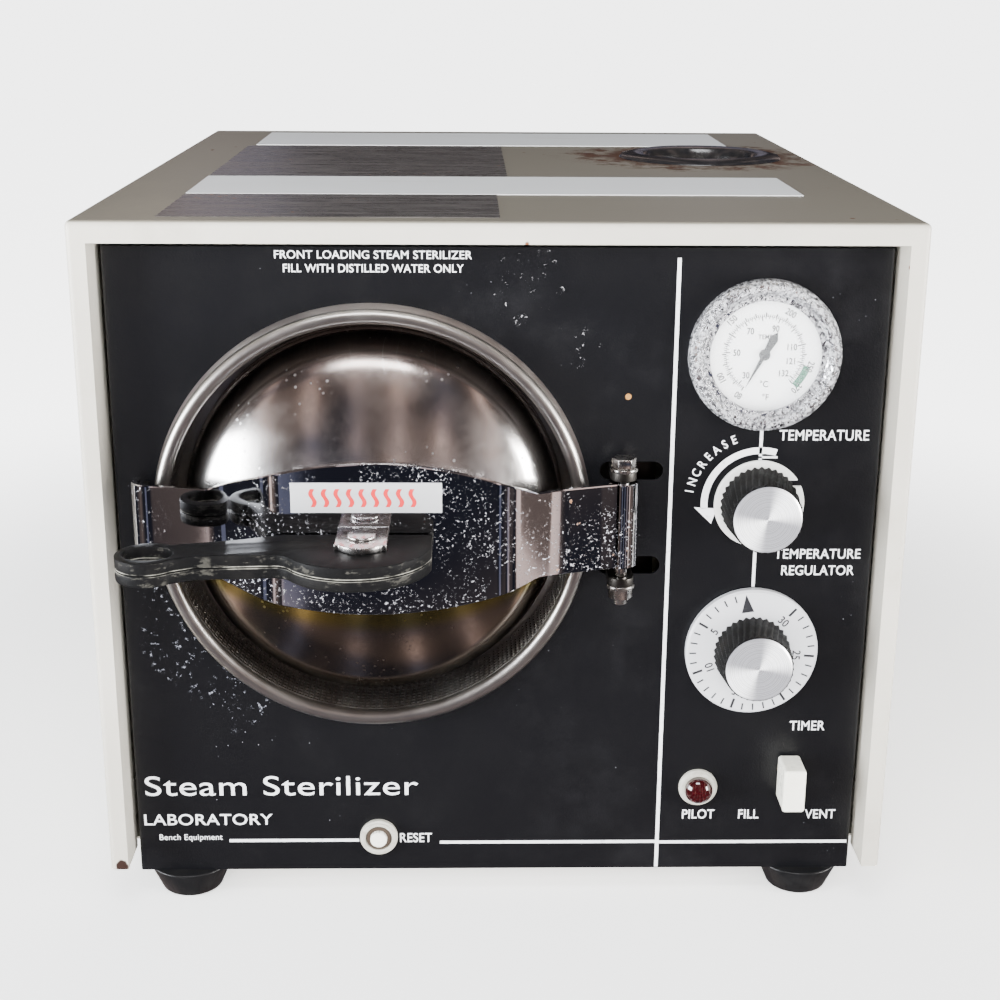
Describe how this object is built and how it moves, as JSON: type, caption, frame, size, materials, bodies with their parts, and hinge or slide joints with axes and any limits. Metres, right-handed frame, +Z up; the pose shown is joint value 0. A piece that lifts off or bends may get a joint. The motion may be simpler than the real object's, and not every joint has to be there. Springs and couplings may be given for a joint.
{
  "type": "benchtop autoclave",
  "caption": "Benchtop steam steriliser: painted box casing, dished door on a hinged chrome yoke with pull handle, gauge, knobs, timer, pilot lamp and top filler opening.",
  "frame": {"origin": "centre of the bounding box footprint, on the plane under the feet", "axes": "+X to the operator's right, +Y from the door into the machine, +Z up"},
  "size_m": [0.384, 0.5372, 0.3497],
  "materials": {
    "casing_paint": "textured enamel",
    "panel_black": "fine textured epoxy",
    "zinc_sheet": "galvanised",
    "black_rubber": "moulded",
    "zinc_steel": "zinc plated",
    "stainless": "satin",
    "insulation": "glass fibre blanket",
    "stainless_satin": "satin",
    "stainless_polished": "polished",
    "black_silicone": "moulded",
    "chrome": "mirror, water spotted",
    "label_silver": "printed foil",
    "phenolic": "moulded, worn",
    "chrome_worn": "pitted",
    "dial_white": "matt",
    "clear_glass": "clear",
    "pointer_black": "matt",
    "switch_plastic": "moulded",
    "brass": "machined",
    "skirt_grey": "printed",
    "knob_black": "ribbed",
    "spun_aluminium": "spun",
    "dial_silver": "satin",
    "bezel_grey": "moulded",
    "lens_red": "translucent",
    "ivory": "moulded",
    "white_plastic": "moulded",
    "black_plastic": "moulded",
    "copper": "drawn tube",
    "foil": "mirror foil, scratched",
    "tape_white": "smooth"
  },
  "bodies": {
    "frame": {"outer_cover": "casing_paint", "base_pan": "casing_paint", "front_panel": "panel_black", "rear_panel": "zinc_sheet", "rubber_feet": "black_rubber", "foot_screws": "zinc_steel", "casing_screws": "zinc_steel", "chamber_vessel": "stainless", "insulation_jacket": "insulation", "vessel_cradles": "zinc_sheet", "bezel_ring": "stainless_satin", "mesh_guard": "stainless", "heating_element": "stainless", "instrument_trays": "stainless", "tray_rack": "stainless", "hinge_bracket": "zinc_steel", "hinge_bolt": "zinc_steel", "hinge_nut_and_washers": "zinc_steel", "latch_keeper": "zinc_steel", "gauge_bezel": "chrome_worn", "gauge_case": "zinc_sheet", "gauge_dial": "dial_white", "gauge_glass": "clear_glass", "regulator_body": "switch_plastic", "timer_body": "switch_plastic", "pilot_bezel": "bezel_grey", "pilot_lens": "lens_red", "pilot_holder": "switch_plastic", "valve_body": "brass", "reset_breaker": "switch_plastic", "reset_nut": "bezel_grey", "filler_ring": "black_plastic", "water_reservoir": "stainless", "copper_tubes": "copper", "drain_fitting": "brass", "relief_valve": "brass", "power_inlet": "black_plastic", "foil_plates": "foil", "white_strips": "tape_white"},
    "door": {"door_dish": "stainless_polished", "door_gasket": "black_silicone", "yoke_band": "chrome", "door_stud": "zinc_steel", "label_plate": "label_silver"},
    "handle": {"handle_clevis": "chrome", "handle_pins": "chrome", "handle_top": "phenolic", "handle_bottom": "phenolic"},
    "regulator_dial": {"regulator_shaft": "brass", "regulator_skirt": "skirt_grey", "regulator_knob": "knob_black", "regulator_cap": "spun_aluminium"},
    "timer_rotor": {"timer_shaft": "brass", "timer_dial": "dial_silver", "timer_knob": "knob_black", "timer_cap": "spun_aluminium"},
    "valve_lever": {"valve_stem": "brass", "lever_cap": "ivory"},
    "pointer": {"gauge_pointer": "pointer_black"},
    "reset": {"reset_button": "white_plastic"}
  },
  "joints": [
    {"name": "door_swing", "type": "hinge", "parent": "frame", "child": "door", "pos_m": [0.058, -0.19643, 0.203], "axis": [0, 0, 1], "range_deg": [0, 100]},
    {"name": "handle_pull", "type": "hinge", "parent": "door", "child": "handle", "pos_m": [-0.0341, -0.22703, 0.203], "axis": [0, 0, 1], "range_deg": [0, 60]},
    {"name": "regulator_turn", "type": "hinge", "parent": "frame", "child": "regulator_dial", "pos_m": [0.1242, -0.19943, 0.211], "axis": [0, 1, 0], "range_deg": [-30, 240]},
    {"name": "timer_turn", "type": "hinge", "parent": "frame", "child": "timer_rotor", "pos_m": [0.1242, -0.19943, 0.136], "axis": [0, 1, 0], "range_deg": [0, 310]},
    {"name": "valve_turn", "type": "hinge", "parent": "frame", "child": "valve_lever", "pos_m": [0.1465, -0.19943, 0.071], "axis": [0, 1, 0], "range_deg": [-40, 40]},
    {"name": "pointer_turn", "type": "hinge", "parent": "frame", "child": "pointer", "pos_m": [0.123, -0.18443, 0.2833], "axis": [0, 1, 0], "range_deg": [0, 290]},
    {"name": "reset_press", "type": "slide", "parent": "frame", "child": "reset", "axis": [0, 1, 0], "range_m": [0, 0.003], "stiffness_N_per_m": 600}
  ]
}
